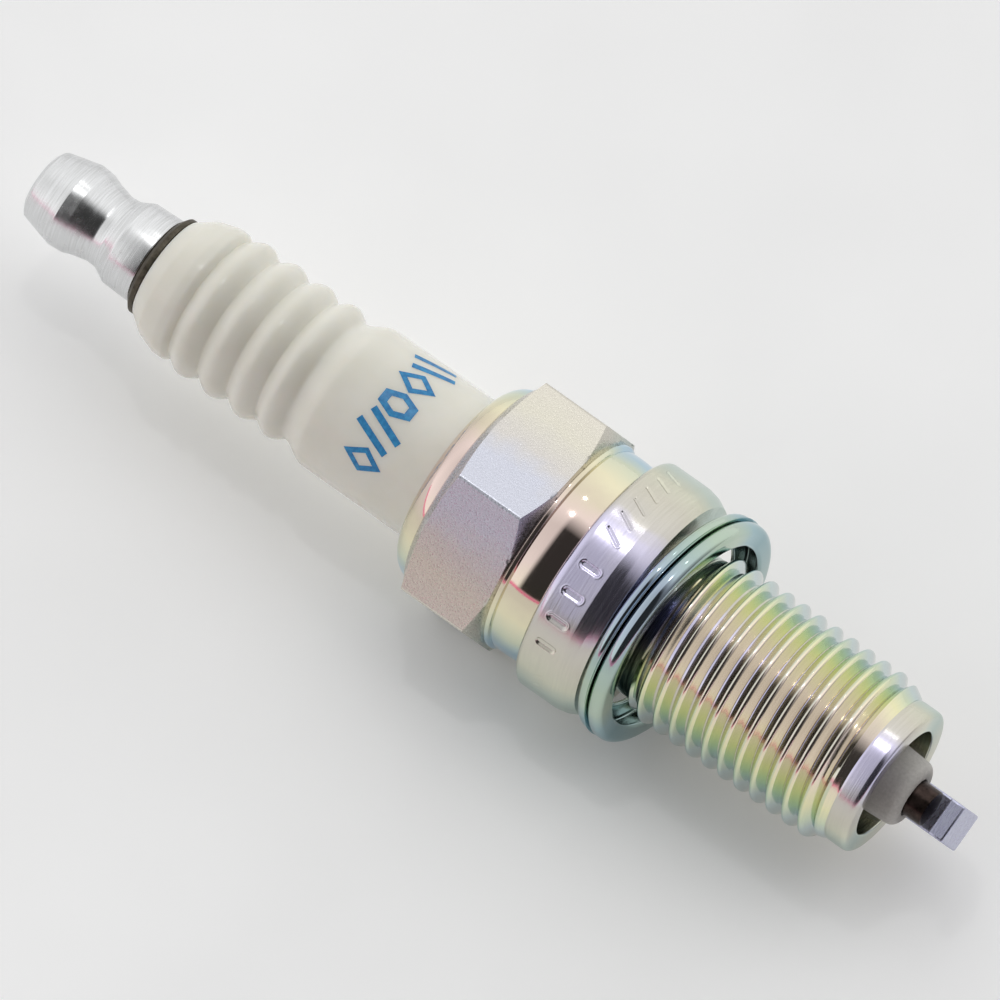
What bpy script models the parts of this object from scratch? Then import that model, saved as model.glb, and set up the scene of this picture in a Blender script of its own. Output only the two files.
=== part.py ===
"""Resistor spark plug for a motorcycle engine: M12 x 1.25 thread, 19 mm reach, 16 mm hexagon.

Axes: +X runs along the plug towards its firing end, +Z is up, and the origin is on the plug's
axis in the plane of the shell's gasket seat. The plug lies on its side. Sizes are in millimetres
and are turned into metres as each object is made.
"""
import math

import bmesh
import bpy
from mathutils import Matrix, Vector

MM = 0.001
SEGMENTS = 36
SMALL_SEGMENTS = 24
MERGE_DISTANCE = 0.000002
ASSEMBLY_NAME = "spark_plug"

# Clearance between pieces that touch on the real plug
FIT = 0.05

# Terminal nut: a turned cap with a snap groove, screwed on the stud's M4 thread
NUT_TOP_X = -47.65
NUT_BASE_X = -38.69
NUT_TOP_FLAT_R = 2.0
NUT_CROWN_R = 2.6
NUT_CROWN_X = -46.94
NUT_HEAD_R = 3.0
NUT_HEAD_START_X = -45.14
NUT_HEAD_END_X = -44.34
NUT_SHOULDER_X = -43.44
NUT_SHOULDER_R = 2.67
NUT_NECK_R = 2.45
NUT_EASE = 0.05
NUT_NECK_START_X = -42.64
NUT_NECK_END_X = -41.74
NUT_SKIRT_R = 3.03
NUT_SKIRT_X = -40.94
NUT_EDGE = 0.15
NUT_BORE_R = 2.04
NUT_BORE_END_X = -45.94

# Terminal stud: M4 end, collar and shank
STUD_THREAD_R = 1.94
STUD_CHAMFER = 0.3
STUD_THREAD_END_X = -45.74
STUD_COLLAR_BACK_R = 3.15
STUD_COLLAR_FRONT_R = 3.5
STUD_COLLAR_BACK_X = -38.64
STUD_COLLAR_EDGE_X = -38.39
STUD_COLLAR_FRONT_X = -38.04
STUD_SHANK_R = 1.75
STUD_TIP_R = 1.35
STUD_TIP_X = -17.84
STUD_END_X = -15.84

# Insulator: glazed alumina, five ribs, flange inside the shell, bare nose
INS_BACK_X = -37.99
INS_BACK_R = 3.45
INS_END_STEPS = ((-35.5, 4.72), (-36.0, 4.64), (-36.4, 4.5), (-36.9, 4.27), (-37.4, 3.93), (-37.9, 3.58))
RIB_R = 4.92
FIRST_RIB_R = 4.72
VALLEY_R = 4.36
VALLEY_X = (-34.51, -32.24, -29.94, -27.64, -25.39)
RIB_STEPS = 6
RIB_FULLNESS = 0.8
RIB_CREST_BACK = 0.55
RIB_CREST_DROP = 0.05
CORNER_STEPS = 3
INS_BODY_R = 5.12
INS_BODY_X = -24.04
INS_BODY_EASE = 0.5
INS_BODY_DROP = 0.125
INS_VALLEY_RISE = 0.25
INS_SHOULDER_START_X = -9.39
INS_SHOULDER_END_X = -8.74
INS_FLANGE_R = 5.93
INS_FLANGE_END_X = -4.34
INS_MIDDLE_X = -2.19
INS_MIDDLE_R = 3.85
INS_STEP_X = 6.31
INS_STEP_END_X = 6.76
INS_NOSE_ROOT_R = 3.1
INS_NOSE_R = 2.32
INS_TIP_EDGE = 0.65
INS_TIP_EDGE_BACK = 0.16
INS_TIP_EDGE_DROP = 0.26
INS_TIP_FLAT_R = 1.75
INS_TIP_X = 20.51
INS_BORE_R = 2.05
INS_BORE_STEP_X = -3.14
INS_NARROW_BORE_R = 1.31

# Conductor column inside the insulator
SEAL_R = 2.0
UPPER_SEAL_START_X = -17.74
UPPER_SEAL_END_X = -14.34
RESISTOR_START_X = -14.24
RESISTOR_END_X = -7.74
LOWER_SEAL_START_X = -7.64
LOWER_SEAL_END_X = -4.79

# Centre electrode: nickel sheath over a copper core
ELECTRODE_R = 1.25
ELECTRODE_EDGE = 0.08
ELECTRODE_FRONT_X = 21.81
ELECTRODE_FLANGE_R = 1.8
ELECTRODE_FLANGE_START_X = -4.74
ELECTRODE_FLANGE_END_X = -3.19
ELECTRODE_HEAD_R = 1.2
ELECTRODE_HEAD_X = -6.24
CORE_HOLE_R = 0.78
CORE_R = 0.73
CORE_START_X = -6.19
CORE_END_X = 18.96
CORE_HOLE_END_X = 19.06

# Shell: crimp collar, hexagon, waist, barrel, seat, thread and end ring
CRIMP_LIP_R = 5.2
CRIMP_X = -15.3
CRIMP_BASE_R = 7.1
CRIMP_ROUND = 1.75
CRIMP_STEPS = 5
HEX_ACROSS_FLATS = 15.65
HEX_BACK_X = -13.55
HEX_FRONT_X = -7.44
HEX_BACK_CHAMFER_R = 7.45
HEX_BACK_CHAMFER_X = -12.75
HEX_FRONT_CHAMFER_R = 7.95
HEX_FRONT_CHAMFER_X = -8.1
HEX_CORNER_R = 9.1
HEX_INNER_R = 6.6
LIP_R = 7.55
LIP_END_X = -7.09
WAIST_R = 7.33
BARREL_R = 8.3
BARREL_ROUND = 0.5
BARREL_BACK_X = -4.45
BARREL_FRONT_X = -0.57
SEAT_R = 7.85
UNDERCUT_R = 5.2
UNDERCUT_END_X = 2.0
THREAD_CREST_R = 5.93
THREAD_ROOT_R = 5.23
THREAD_BASE_R = 5.05
THREAD_PITCH = 1.25
THREAD_CREST_HALF = 0.14
THREAD_BASE_HALF = 0.588
THREAD_START_X = 1.3
THREAD_TURNS = 13.5
THREAD_FADE_R = 5.1
THREAD_EASE = 0.1
THREAD_LEAD_IN_X = 2.75
THREAD_LEAD_LENGTH = 0.55
THREAD_LEAD_OUT_X = 16.1
THREAD_RUN_OUT_X = 17.5
END_RING_R = 5.19
END_RING_EDGE = 0.25
SHELL_END_X = 19.0
SHELL_CHAMBER_R = 6.05
SHELL_CHAMBER_START_X = -14.3
SHELL_CHAMBER_END_X = -4.19
SHELL_BORE_START_X = -2.04
SHELL_BORE_R = 4.0
SHELL_LEDGE_X = 6.71
SHELL_LEDGE_R = 3.3
SHELL_LEDGE_FLAT_X = 7.11
SHELL_LEDGE_END_X = 8.76
SHELL_FIRING_BORE_R = 3.85
SHELL_FIRING_BORE_X = 9.36

# Stamped slots on the barrel
SLOT_COUNT = 4
SLOT_FIRST_DEG = 30.0
SLOT_STEP_DEG = 13.8
SLOT_HALF_LENGTH = 0.5
SLOT_HALF_WIDTH = 0.27
SLOT_DEPTH = 0.16
SLOT_X = -2.74
SLOT_SIDES = 12

# Packing between the insulator and the shell
RING_WIRE_R = 0.4
RING_STEPS = 7
RING_MEAN_R = 5.58
UPPER_RING_X = -13.75
LOWER_RING_X = -9.89
TALC_INNER_R = 5.18
TALC_OUTER_R = 5.98
TALC_START_X = -13.2
TALC_END_X = -10.35
SHEET_OUTER_R = 3.9
SHEET_INNER_R = 3.38
SHEET_THICKNESS = 0.22
SHEET_X = 6.46

# Gasket: a ring rolled from sheet, two lobes with a seam between them, lying loose and askew
GASKET_X = 1.86
GASKET_TILT_Y_DEG = -3.4
GASKET_TILT_Z_DEG = -4.75
GASKET_HALF = 0.97
GASKET_SEAM_X = -0.17
GASKET_OUTER_R = 8.25
GASKET_SEAM_R = 7.98
GASKET_INNER_R = 6.85
GASKET_LIP_R = 6.3
GASKET_SHEET = 0.36
GASKET_ROUND = 0.42
GASKET_LAND_R = 7.6

# Ground electrode: a flat strip welded on the end ring and bent over the centre electrode
STRIP_THICKNESS = 1.1
STRIP_WIDTH = 2.65
STRIP_BASE_X = 19.03
STRIP_INNER_X = 22.71
STRIP_LEG_R = 3.95
STRIP_TIP_R = -1.2
STRIP_BEND_R = 0.9
STRIP_BEND_STEPS = 6
STRIP_EDGE = 0.12
STRIP_TURN_DEG = -60.0


def clear_scene():
    for found in list(bpy.data.objects):
        bpy.data.objects.remove(found, do_unlink=True)


def new_collection(name):
    found = bpy.data.collections.new(name)
    bpy.context.scene.collection.children.link(found)
    return found


def make_material(name, colour, metallic, roughness):
    material = bpy.data.materials.new(name)
    material.use_nodes = True
    surface = material.node_tree.nodes["Principled BSDF"]
    surface.inputs["Base Color"].default_value = colour
    surface.inputs["Metallic"].default_value = metallic
    surface.inputs["Roughness"].default_value = roughness
    return material


def add_object(name, mesh, collection, material):
    made = bpy.data.objects.new(name, mesh)
    collection.objects.link(made)
    if material is not None:
        mesh.materials.append(material)
    return made


def hide_as_cutter(made):
    made.hide_render = True
    made.display_type = "WIRE"


def turned(name, walk, collection, material, segments=SEGMENTS):
    """Turn a walk of (x, r) points round the plug's axis.

    The walk runs from the firing end back along the outer side. It starts and ends on the axis,
    or it closes on itself when its first point stands off the axis.
    """
    mesh = bpy.data.meshes.new(name)
    shape = bmesh.new()
    corners = [shape.verts.new((r * MM, 0.0, x * MM)) for x, r in walk]
    for first, second in zip(corners, corners[1:]):
        shape.edges.new((first, second))
    if walk[0][1] > 0.0:
        shape.edges.new((corners[-1], corners[0]))
    shape.to_mesh(mesh)
    shape.free()
    made = add_object(name, mesh, collection, material)
    made.rotation_euler = (0.0, math.radians(90.0), 0.0)
    screw = made.modifiers.new("turn", "SCREW")
    screw.axis = "Z"
    screw.steps = segments
    screw.render_steps = segments
    screw.use_merge_vertices = True
    screw.merge_threshold = MERGE_DISTANCE
    screw.use_smooth_shade = True
    return made


def arc(centre_x, centre_r, radius, start_deg, end_deg, steps):
    """Points on an arc; 0 degrees points along +X and 90 degrees points outwards."""
    points = []
    for step in range(steps + 1):
        angle = math.radians(start_deg + (end_deg - start_deg) * step / steps)
        points.append((centre_x + radius * math.cos(angle), centre_r + radius * math.sin(angle)))
    return points


def boolean(target, operation, other, name):
    cut = target.modifiers.new(name, "BOOLEAN")
    cut.operation = operation
    cut.solver = "EXACT"
    cut.object = other


def terminal_nut(parts, material):
    walk = [
        (NUT_BORE_END_X, 0.0),
        (NUT_BORE_END_X, NUT_BORE_R),
        (NUT_BASE_X, NUT_BORE_R),
        (NUT_BASE_X, NUT_SKIRT_R - NUT_EDGE),
        (NUT_BASE_X - NUT_EDGE, NUT_SKIRT_R),
        (NUT_SKIRT_X, NUT_SKIRT_R),
        (NUT_NECK_END_X, NUT_NECK_R),
        (NUT_NECK_START_X, NUT_NECK_R + NUT_EASE),
        (NUT_SHOULDER_X, NUT_SHOULDER_R),
        (NUT_HEAD_END_X, NUT_HEAD_R),
        (NUT_HEAD_START_X, NUT_HEAD_R),
        (NUT_CROWN_X, NUT_CROWN_R),
        (NUT_TOP_X + NUT_EDGE, NUT_TOP_FLAT_R + 2.0 * NUT_EDGE),
        (NUT_TOP_X, NUT_TOP_FLAT_R),
        (NUT_TOP_X, 0.0),
    ]
    turned("terminal_nut", walk, parts, material)


def terminal_stud(parts, material):
    walk = [
        (STUD_END_X, 0.0),
        (STUD_END_X, STUD_TIP_R),
        (STUD_TIP_X, STUD_TIP_R),
        (STUD_TIP_X, STUD_SHANK_R),
        (STUD_COLLAR_FRONT_X, STUD_SHANK_R),
        (STUD_COLLAR_FRONT_X, STUD_COLLAR_FRONT_R),
        (STUD_COLLAR_EDGE_X, STUD_COLLAR_FRONT_R),
        (STUD_COLLAR_BACK_X, STUD_COLLAR_BACK_R),
        (STUD_COLLAR_BACK_X, STUD_THREAD_R),
        (STUD_THREAD_END_X + STUD_CHAMFER, STUD_THREAD_R),
        (STUD_THREAD_END_X, STUD_THREAD_R - STUD_CHAMFER),
        (STUD_THREAD_END_X, 0.0),
    ]
    turned("terminal_stud", walk, parts, material, SMALL_SEGMENTS)


def rib(start_x, end_x):
    """A rounded rib walked back from the valley at end_x, without the valley at start_x."""
    points = []
    for step in range(RIB_STEPS):
        share = step / RIB_STEPS
        rise = math.sin(math.pi * share) ** RIB_FULLNESS
        points.append((end_x + (start_x - end_x) * share, VALLEY_R + (RIB_R - VALLEY_R) * rise))
    return points


def insulator(parts, material):
    walk = [
        (INS_TIP_X, INS_NARROW_BORE_R),
        (INS_TIP_X, INS_TIP_FLAT_R),
        (INS_TIP_X - INS_TIP_EDGE_BACK, INS_NOSE_R - INS_TIP_EDGE_DROP),
        (INS_TIP_X - INS_TIP_EDGE, INS_NOSE_R),
        (INS_STEP_END_X, INS_NOSE_ROOT_R),
        (INS_STEP_X, INS_MIDDLE_R),
        (INS_MIDDLE_X, INS_MIDDLE_R),
        (INS_FLANGE_END_X, INS_FLANGE_R),
        (INS_SHOULDER_END_X, INS_FLANGE_R),
        (INS_SHOULDER_START_X, INS_BODY_R),
        (INS_BODY_X, INS_BODY_R),
        (INS_BODY_X - INS_BODY_EASE, INS_BODY_R - INS_BODY_DROP),
        (VALLEY_X[-1] + INS_BODY_EASE, VALLEY_R + INS_VALLEY_RISE),
    ]
    for start_x, end_x in reversed(list(zip(VALLEY_X, VALLEY_X[1:]))):
        walk.extend(rib(start_x, end_x))
    walk.append((VALLEY_X[0], VALLEY_R))
    walk.append((VALLEY_X[0] - RIB_CREST_BACK, FIRST_RIB_R - RIB_CREST_DROP))
    walk.extend(INS_END_STEPS)
    walk.append((INS_BACK_X, INS_BACK_R))
    walk.append((INS_BACK_X, INS_BORE_R))
    walk.append((INS_BORE_STEP_X, INS_BORE_R))
    walk.append((INS_BORE_STEP_X, INS_NARROW_BORE_R))
    turned("insulator", walk, parts, material)


def conductor_column(parts, glass, carbon, nickel, copper):
    upper_seal = [
        (UPPER_SEAL_END_X, 0.0),
        (UPPER_SEAL_END_X, SEAL_R),
        (UPPER_SEAL_START_X, SEAL_R),
        (UPPER_SEAL_START_X, STUD_TIP_R + FIT),
        (STUD_END_X + FIT, STUD_TIP_R + FIT),
        (STUD_END_X + FIT, 0.0),
    ]
    turned("upper_glass_seal", upper_seal, parts, glass, SMALL_SEGMENTS)
    column = [
        (RESISTOR_END_X, 0.0),
        (RESISTOR_END_X, SEAL_R),
        (RESISTOR_START_X, SEAL_R),
        (RESISTOR_START_X, 0.0),
    ]
    turned("resistor", column, parts, carbon, SMALL_SEGMENTS)
    lower_seal = [
        (ELECTRODE_HEAD_X - FIT, 0.0),
        (ELECTRODE_HEAD_X - FIT, ELECTRODE_HEAD_R + FIT),
        (LOWER_SEAL_END_X, ELECTRODE_HEAD_R + FIT),
        (LOWER_SEAL_END_X, SEAL_R),
        (LOWER_SEAL_START_X, SEAL_R),
        (LOWER_SEAL_START_X, 0.0),
    ]
    turned("lower_glass_seal", lower_seal, parts, glass, SMALL_SEGMENTS)
    sheath = [
        (ELECTRODE_FRONT_X, 0.0),
        (ELECTRODE_FRONT_X, ELECTRODE_R - ELECTRODE_EDGE),
        (ELECTRODE_FRONT_X - ELECTRODE_EDGE, ELECTRODE_R),
        (ELECTRODE_FLANGE_END_X, ELECTRODE_R),
        (ELECTRODE_FLANGE_END_X, ELECTRODE_FLANGE_R),
        (ELECTRODE_FLANGE_START_X, ELECTRODE_FLANGE_R),
        (ELECTRODE_FLANGE_START_X, ELECTRODE_HEAD_R),
        (ELECTRODE_HEAD_X, ELECTRODE_HEAD_R),
        (ELECTRODE_HEAD_X, CORE_HOLE_R),
        (CORE_HOLE_END_X, CORE_HOLE_R),
        (CORE_HOLE_END_X, 0.0),
    ]
    turned("center_electrode", sheath, parts, nickel, SMALL_SEGMENTS)
    core = [
        (CORE_END_X, 0.0),
        (CORE_END_X, CORE_R),
        (CORE_START_X, CORE_R),
        (CORE_START_X, 0.0),
    ]
    turned("electrode_core", core, parts, copper, SMALL_SEGMENTS)


def hexagon_blank(cutters):
    """The hexagon with its chamfered ends, joined to the shell later."""
    mesh = bpy.data.meshes.new("hexagon_blank")
    shape = bmesh.new()
    corner_r = HEX_ACROSS_FLATS / math.sqrt(3.0) * MM
    depth = (HEX_FRONT_X - HEX_BACK_X) * MM
    bmesh.ops.create_cone(shape, cap_ends=True, segments=6, radius1=corner_r, radius2=corner_r,
                          depth=depth)
    shape.to_mesh(mesh)
    shape.free()
    blank = add_object("hexagon_blank", mesh, cutters, None)
    blank.rotation_euler = (0.0, math.radians(90.0), 0.0)
    blank.location = ((HEX_FRONT_X + HEX_BACK_X) / 2.0 * MM, 0.0, 0.0)
    walk = [
        (HEX_FRONT_X + FIT, HEX_INNER_R),
        (HEX_FRONT_X + FIT, HEX_FRONT_CHAMFER_R),
        (HEX_FRONT_CHAMFER_X, HEX_CORNER_R),
        (HEX_BACK_CHAMFER_X, HEX_CORNER_R),
        (HEX_BACK_X - FIT, HEX_BACK_CHAMFER_R),
        (HEX_BACK_X - FIT, HEX_INNER_R),
    ]
    chamfer = turned("hexagon_chamfer", walk, cutters, None)
    hide_as_cutter(chamfer)
    boolean(blank, "INTERSECT", chamfer, "chamfer")
    hide_as_cutter(blank)
    return blank


def thread_limit(x):
    """How far out the thread's crest may stand at x: it leads in and runs out on cones."""
    if x < THREAD_LEAD_IN_X:
        share = 1.0 - (THREAD_LEAD_IN_X - x) / THREAD_LEAD_LENGTH
    elif x > THREAD_LEAD_OUT_X:
        share = (THREAD_RUN_OUT_X - x) / (THREAD_RUN_OUT_X - THREAD_LEAD_OUT_X)
    else:
        share = 1.0
    share = min(1.0, max(0.0, share))
    return THREAD_FADE_R + (THREAD_CREST_R - THREAD_FADE_R) * share


def thread_ridge(cutters):
    """The right-hand ridge of the M12 x 1.25 thread, joined to the shell later."""
    mesh = bpy.data.meshes.new("thread_ridge")
    shape = bmesh.new()
    section = [
        (THREAD_BASE_R, -THREAD_BASE_HALF),
        (THREAD_CREST_R, -THREAD_CREST_HALF),
        (THREAD_CREST_R, THREAD_CREST_HALF),
        (THREAD_BASE_R, THREAD_BASE_HALF),
    ]
    corners = [shape.verts.new((r * MM, 0.0, (THREAD_START_X + x) * MM)) for r, x in section]
    half_facet = Matrix.Rotation(math.radians(180.0 / SEGMENTS), 4, "Z")
    bmesh.ops.transform(shape, matrix=half_facet, verts=corners)
    face = shape.faces.new(corners)
    steps = round(THREAD_TURNS * SEGMENTS)
    rise = Vector((0.0, 0.0, THREAD_PITCH / SEGMENTS * MM))
    bmesh.ops.spin(shape, geom=[face], cent=(0.0, 0.0, 0.0), axis=(0.0, 0.0, 1.0), dvec=rise,
                   angle=math.radians(360.0) * THREAD_TURNS, steps=steps, use_duplicate=False)
    for corner in shape.verts:
        radius = math.hypot(corner.co.x, corner.co.y)
        limit = thread_limit(corner.co.z / MM) * MM
        if radius > limit:
            corner.co.x *= limit / radius
            corner.co.y *= limit / radius
    bmesh.ops.recalc_face_normals(shape, faces=shape.faces)
    shape.to_mesh(mesh)
    shape.free()
    ridge = add_object("thread_ridge", mesh, cutters, None)
    ridge.rotation_euler = (0.0, math.radians(90.0), 0.0)
    hide_as_cutter(ridge)
    return ridge


def slot_punches(cutters):
    """Flat oblong punches set round the barrel, one for each stamped slot."""
    mesh = bpy.data.meshes.new("slot_punches")
    shape = bmesh.new()
    for index in range(SLOT_COUNT):
        punch = bmesh.ops.create_cone(shape, cap_ends=True, segments=SLOT_SIDES,
                                      radius1=SLOT_HALF_WIDTH * MM, radius2=SLOT_HALF_WIDTH * MM,
                                      depth=2.0 * SLOT_DEPTH * MM)
        for corner in punch["verts"]:
            corner.co.x += math.copysign(SLOT_HALF_LENGTH * MM, corner.co.x)
        place = Matrix.Rotation(math.radians(SLOT_FIRST_DEG + SLOT_STEP_DEG * index), 4, "X")
        place = place @ Matrix.Translation((SLOT_X * MM, 0.0, BARREL_R * MM))
        bmesh.ops.transform(shape, matrix=place, verts=punch["verts"])
    shape.to_mesh(mesh)
    shape.free()
    punches = add_object("slot_punches", mesh, cutters, None)
    hide_as_cutter(punches)
    return punches


def shell(parts, cutters, material):
    walk = [(SHELL_END_X, SHELL_FIRING_BORE_R), (SHELL_END_X, END_RING_R - END_RING_EDGE)]
    walk.append((SHELL_END_X - END_RING_EDGE, END_RING_R))
    walk.append((THREAD_RUN_OUT_X, END_RING_R))
    walk.append((THREAD_RUN_OUT_X - THREAD_EASE, THREAD_ROOT_R))
    walk.append((UNDERCUT_END_X, THREAD_ROOT_R))
    walk.append((UNDERCUT_END_X - THREAD_EASE, UNDERCUT_R))
    walk.append((0.0, UNDERCUT_R))
    walk.append((0.0, SEAT_R))
    walk.append((BARREL_FRONT_X, BARREL_R))
    corner_x = BARREL_BACK_X + BARREL_ROUND
    walk.extend(arc(corner_x, BARREL_R - BARREL_ROUND, BARREL_ROUND, 90.0, 180.0, CORNER_STEPS))
    walk.append((BARREL_BACK_X, WAIST_R))
    walk.append((LIP_END_X, WAIST_R))
    walk.append((LIP_END_X, LIP_R))
    walk.append((HEX_FRONT_X - FIT, LIP_R))
    walk.append((HEX_FRONT_X - FIT, CRIMP_BASE_R))
    crimp_x = CRIMP_X + CRIMP_ROUND
    walk.extend(arc(crimp_x, CRIMP_BASE_R - CRIMP_ROUND, CRIMP_ROUND, 90.0, 175.0, CRIMP_STEPS))
    walk.append((CRIMP_X + FIT, CRIMP_LIP_R))
    walk.append((SHELL_CHAMBER_START_X, CRIMP_LIP_R))
    walk.append((SHELL_CHAMBER_START_X, SHELL_CHAMBER_R))
    walk.append((SHELL_CHAMBER_END_X, SHELL_CHAMBER_R))
    walk.append((SHELL_BORE_START_X, SHELL_BORE_R))
    walk.append((SHELL_LEDGE_X, SHELL_BORE_R))
    walk.append((SHELL_LEDGE_FLAT_X, SHELL_LEDGE_R))
    walk.append((SHELL_LEDGE_END_X, SHELL_LEDGE_R))
    walk.append((SHELL_FIRING_BORE_X, SHELL_FIRING_BORE_R))
    made = turned("shell", walk, parts, material)
    boolean(made, "UNION", hexagon_blank(cutters), "hexagon")
    boolean(made, "UNION", thread_ridge(cutters), "thread")
    boolean(made, "DIFFERENCE", slot_punches(cutters), "slots")
    return made


def packing(parts, steel, talc):
    for name, ring_x in (("upper_ring_packing", UPPER_RING_X), ("lower_ring_packing", LOWER_RING_X)):
        walk = arc(ring_x, RING_MEAN_R, RING_WIRE_R, 0.0, 315.0, RING_STEPS)
        turned(name, walk, parts, steel, SMALL_SEGMENTS)
    powder = [
        (TALC_END_X, TALC_INNER_R),
        (TALC_END_X, TALC_OUTER_R),
        (TALC_START_X, TALC_OUTER_R),
        (TALC_START_X, TALC_INNER_R),
    ]
    turned("talc_filling", powder, parts, talc, SEGMENTS)
    slope = (INS_STEP_END_X - INS_STEP_X) / (INS_MIDDLE_R - INS_NOSE_ROOT_R)
    front_x = SHEET_X + (SHEET_OUTER_R - SHEET_INNER_R) * slope
    sheet = [
        (SHEET_X + SHEET_THICKNESS, SHEET_OUTER_R),
        (SHEET_X, SHEET_OUTER_R),
        (front_x, SHEET_INNER_R),
        (front_x + SHEET_THICKNESS, SHEET_INNER_R),
    ]
    turned("seat_packing", sheet, parts, steel, SEGMENTS)


def gasket(parts, material):
    """A strip of sheet rolled into a ring: two outer lobes, hollow, open towards the inside."""
    lobe_r = GASKET_OUTER_R - GASKET_ROUND
    hollow_r = lobe_r - GASKET_SHEET / 2.0
    walk = [(GASKET_HALF - GASKET_SHEET, GASKET_INNER_R), (GASKET_HALF, GASKET_INNER_R + GASKET_SHEET / 2.0)]
    walk.append((GASKET_HALF, GASKET_LAND_R))
    walk.extend(arc(GASKET_HALF - GASKET_ROUND, lobe_r, GASKET_ROUND, 45.0, 110.0, 2))
    walk.append((GASKET_SEAM_X, GASKET_SEAM_R))
    walk.extend(arc(GASKET_ROUND - GASKET_HALF, lobe_r, GASKET_ROUND, 80.0, 180.0, 3))
    walk.append((-GASKET_HALF, GASKET_LIP_R))
    walk.append((GASKET_SHEET - GASKET_HALF, GASKET_LIP_R))
    walk.append((GASKET_SHEET - GASKET_HALF, hollow_r))
    walk.append((GASKET_HALF - GASKET_SHEET, hollow_r))
    made = turned("gasket", walk, parts, material)
    made.location = (GASKET_X * MM, 0.0, 0.0)
    tilt_y = math.radians(90.0 + GASKET_TILT_Y_DEG)
    made.rotation_euler = (0.0, tilt_y, math.radians(GASKET_TILT_Z_DEG))


def ground_electrode(parts, material):
    """A strip drawn from the side: the leg stands on the end ring, the bend carries it inwards."""
    outer_x = STRIP_INNER_X + STRIP_THICKNESS
    outer_r = STRIP_LEG_R + STRIP_THICKNESS
    bend_x = STRIP_INNER_X - STRIP_BEND_R
    bend_r = STRIP_LEG_R - STRIP_BEND_R
    outline = [(STRIP_BASE_X, STRIP_LEG_R), (STRIP_BASE_X, outer_r)]
    outline.extend(arc(bend_x, bend_r, STRIP_BEND_R + STRIP_THICKNESS, 90.0, 0.0, STRIP_BEND_STEPS))
    outline.append((outer_x, STRIP_TIP_R))
    outline.append((STRIP_INNER_X, STRIP_TIP_R))
    outline.extend(arc(bend_x, bend_r, STRIP_BEND_R, 0.0, 90.0, STRIP_BEND_STEPS))
    mesh = bpy.data.meshes.new("ground_electrode")
    shape = bmesh.new()
    half_width = STRIP_WIDTH / 2.0 * MM
    side = shape.faces.new([shape.verts.new((x * MM, r * MM, -half_width)) for x, r in outline])
    grown = bmesh.ops.extrude_face_region(shape, geom=[side])
    lifted = [item for item in grown["geom"] if isinstance(item, bmesh.types.BMVert)]
    bmesh.ops.translate(shape, verts=lifted, vec=(0.0, 0.0, 2.0 * half_width))
    bmesh.ops.recalc_face_normals(shape, faces=shape.faces)
    shape.to_mesh(mesh)
    shape.free()
    made = add_object("ground_electrode", mesh, parts, material)
    made.rotation_euler = (math.radians(STRIP_TURN_DEG), 0.0, 0.0)
    edge = made.modifiers.new("edge", "BEVEL")
    edge.width = STRIP_EDGE * MM
    edge.segments = 1
    edge.limit_method = "ANGLE"
    edge.angle_limit = math.radians(50.0)


def build():
    clear_scene()
    parts = new_collection(ASSEMBLY_NAME)
    cutters = new_collection("cutters")
    aluminium = make_material("turned_aluminium", (0.82, 0.83, 0.85, 1.0), 1.0, 0.25)
    dark_steel = make_material("oxidised_steel", (0.10, 0.09, 0.08, 1.0), 1.0, 0.5)
    alumina = make_material("glazed_alumina", (0.85, 0.84, 0.79, 1.0), 0.0, 0.15)
    glass = make_material("copper_glass", (0.20, 0.13, 0.09, 1.0), 0.0, 0.4)
    carbon = make_material("carbon_resistor", (0.03, 0.03, 0.03, 1.0), 0.0, 0.6)
    nickel = make_material("nickel_alloy", (0.45, 0.44, 0.42, 1.0), 1.0, 0.35)
    copper = make_material("copper", (0.72, 0.36, 0.22, 1.0), 1.0, 0.3)
    plated = make_material("plated_steel", (0.70, 0.68, 0.58, 1.0), 1.0, 0.25)
    soft_steel = make_material("soft_steel", (0.40, 0.40, 0.40, 1.0), 1.0, 0.45)
    talc = make_material("talc", (0.75, 0.74, 0.70, 1.0), 0.0, 0.9)
    plated_sheet = make_material("plated_sheet", (0.45, 0.55, 0.58, 1.0), 1.0, 0.2)
    strip = make_material("electrode_nickel", (0.62, 0.62, 0.64, 1.0), 1.0, 0.3)
    terminal_nut(parts, aluminium)
    terminal_stud(parts, dark_steel)
    insulator(parts, alumina)
    conductor_column(parts, glass, carbon, nickel, copper)
    shell(parts, cutters, plated)
    packing(parts, soft_steel, talc)
    gasket(parts, plated_sheet)
    ground_electrode(parts, strip)


build()
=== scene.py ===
# %% [markdown]
# # A spark plug for a motorcycle engine
#
# The plug lies on a pale table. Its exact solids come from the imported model, and this lesson
# dresses them: every visible piece is modelled again with fine curves, rounded edges and a finish
# that says how the real one was made. Lengths are written in millimetres, and one factor turns
# them to metres. The plug's axis is X, and its firing end points along +X.

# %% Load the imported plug
import math

import bmesh
import bpy
from mathutils import Euler, Matrix, Vector


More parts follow.
